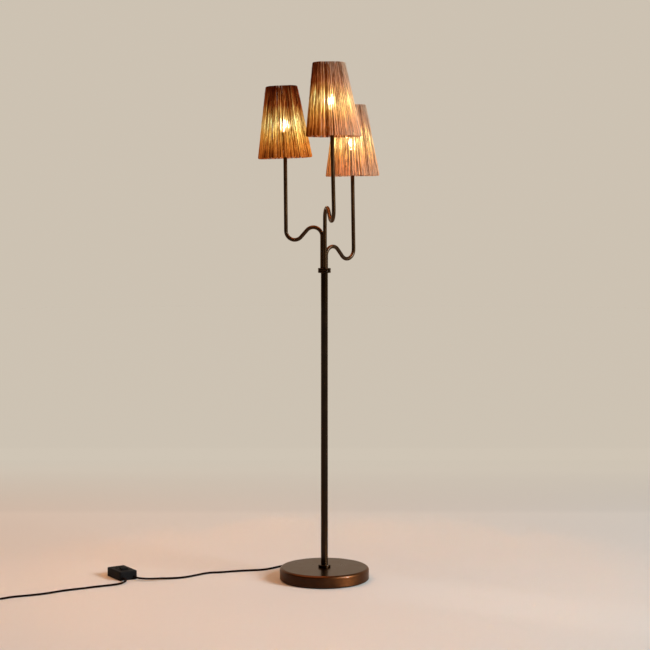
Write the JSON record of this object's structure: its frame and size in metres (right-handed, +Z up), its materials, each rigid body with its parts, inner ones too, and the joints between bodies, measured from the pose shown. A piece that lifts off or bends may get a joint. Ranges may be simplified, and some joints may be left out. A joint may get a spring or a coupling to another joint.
{
  "type": "floor lamp",
  "caption": "Floor lamp with a round weighted base, a slim pole and bent tube arms at stepped heights, each with a tapered wound string shade, and a foot dimmer on the cord.",
  "frame": {"origin": "centre of the base's underside, on the floor and on the pole's axis", "axes": "+Z up along the pole; +X to the right and -Y towards a person who faces the lamp from the front; the tallest arm leans out towards -Y"},
  "size_m": [1.3223, 0.5037, 1.6003],
  "materials": {
    "bronze_paint": "dark bronze lacquer, half gloss",
    "cast_weight": "rough casting",
    "plain_steel": "plain steel, not polished",
    "brass_parts": "plain brass",
    "felt_pad": "thin felt",
    "cord_sheath": "black flexible sheath, satin",
    "dimmer_plastic": "black plastic, satin",
    "board": "bare circuit board",
    "holder_plastic": "black plastic",
    "holder_core": "cream glazed insulator",
    "frame_wire": "dark lacquered wire",
    "wound_string": "brown plant-fibre string, wound upright side by side",
    "bulb_metal": "nickel-coloured screw cap",
    "bulb_glass": "opal glass, lit"
  },
  "bodies": {
    "lamp": {"base_pad": "felt_pad", "bottom_plate": "plain_steel", "base_weight": "cast_weight", "base_cover": "bronze_paint", "base_washer": "plain_steel", "base_nut": "plain_steel", "base_nipple": "brass_parts", "terminal_block": "holder_plastic", "cord_clamp": "holder_plastic", "cord_bushing": "cord_sheath", "base_lead": "cord_sheath", "pole_lead": "cord_sheath", "wire_joiner": "holder_plastic", "arm_leads": "cord_sheath", "pole_foot_ring": "bronze_paint", "pole_bottom_plug": "plain_steel", "pole_tube": "bronze_paint", "pole_top_ring": "bronze_paint", "hub_screw": "plain_steel", "arm_hub": "bronze_paint", "dimmer_base": "dimmer_plastic", "dimmer_board": "board", "dimmer_cover": "dimmer_plastic", "plug_body": "cord_sheath", "plug_pins": "brass_parts", "cord_lamp": "cord_sheath", "cord_mains": "cord_sheath", "cord_coil": "cord_sheath", "cord_tail": "cord_sheath", "screw_shells": "brass_parts", "arm_tube_left": "bronze_paint", "holder_cap_left": "bronze_paint", "holder_body_left": "holder_plastic", "holder_core_left": "holder_core", "shade_ring_left": "holder_plastic", "shade_frame_left": "frame_wire", "shade_wrap_left": "wound_string", "arm_tube_right": "bronze_paint", "holder_cap_right": "bronze_paint", "holder_body_right": "holder_plastic", "holder_core_right": "holder_core", "shade_ring_right": "holder_plastic", "shade_frame_right": "frame_wire", "shade_wrap_right": "wound_string", "arm_tube_front": "bronze_paint", "holder_cap_front": "bronze_paint", "holder_body_front": "holder_plastic", "holder_core_front": "holder_core", "shade_ring_front": "holder_plastic", "shade_frame_front": "frame_wire", "shade_wrap_front": "wound_string"},
    "bulb_left": {"bulb_glass_left": "bulb_glass", "bulb_cap_left": "bulb_metal"},
    "bulb_right": {"bulb_glass_right": "bulb_glass", "bulb_cap_right": "bulb_metal"},
    "bulb_front": {"bulb_glass_front": "bulb_glass", "bulb_cap_front": "bulb_metal"},
    "slider": {"dimmer_slider": "dimmer_plastic"}
  },
  "joints": [
    {"name": "bulb_lift_left", "type": "slide", "parent": "lamp", "child": "bulb_left", "axis": [-0.0079, 0, 1], "range_m": [0, 0.22]},
    {"name": "bulb_lift_right", "type": "slide", "parent": "lamp", "child": "bulb_right", "axis": [-0.0157, 0, 0.9999], "range_m": [0, 0.22]},
    {"name": "bulb_lift_front", "type": "slide", "parent": "lamp", "child": "bulb_front", "axis": [-0.0227, 0, 0.9997], "range_m": [0, 0.22]},
    {"name": "dimmer_slide", "type": "slide", "parent": "lamp", "child": "slider", "axis": [0.5446, -0.8387, 0], "range_m": [-0.026, 0.002]}
  ]
}
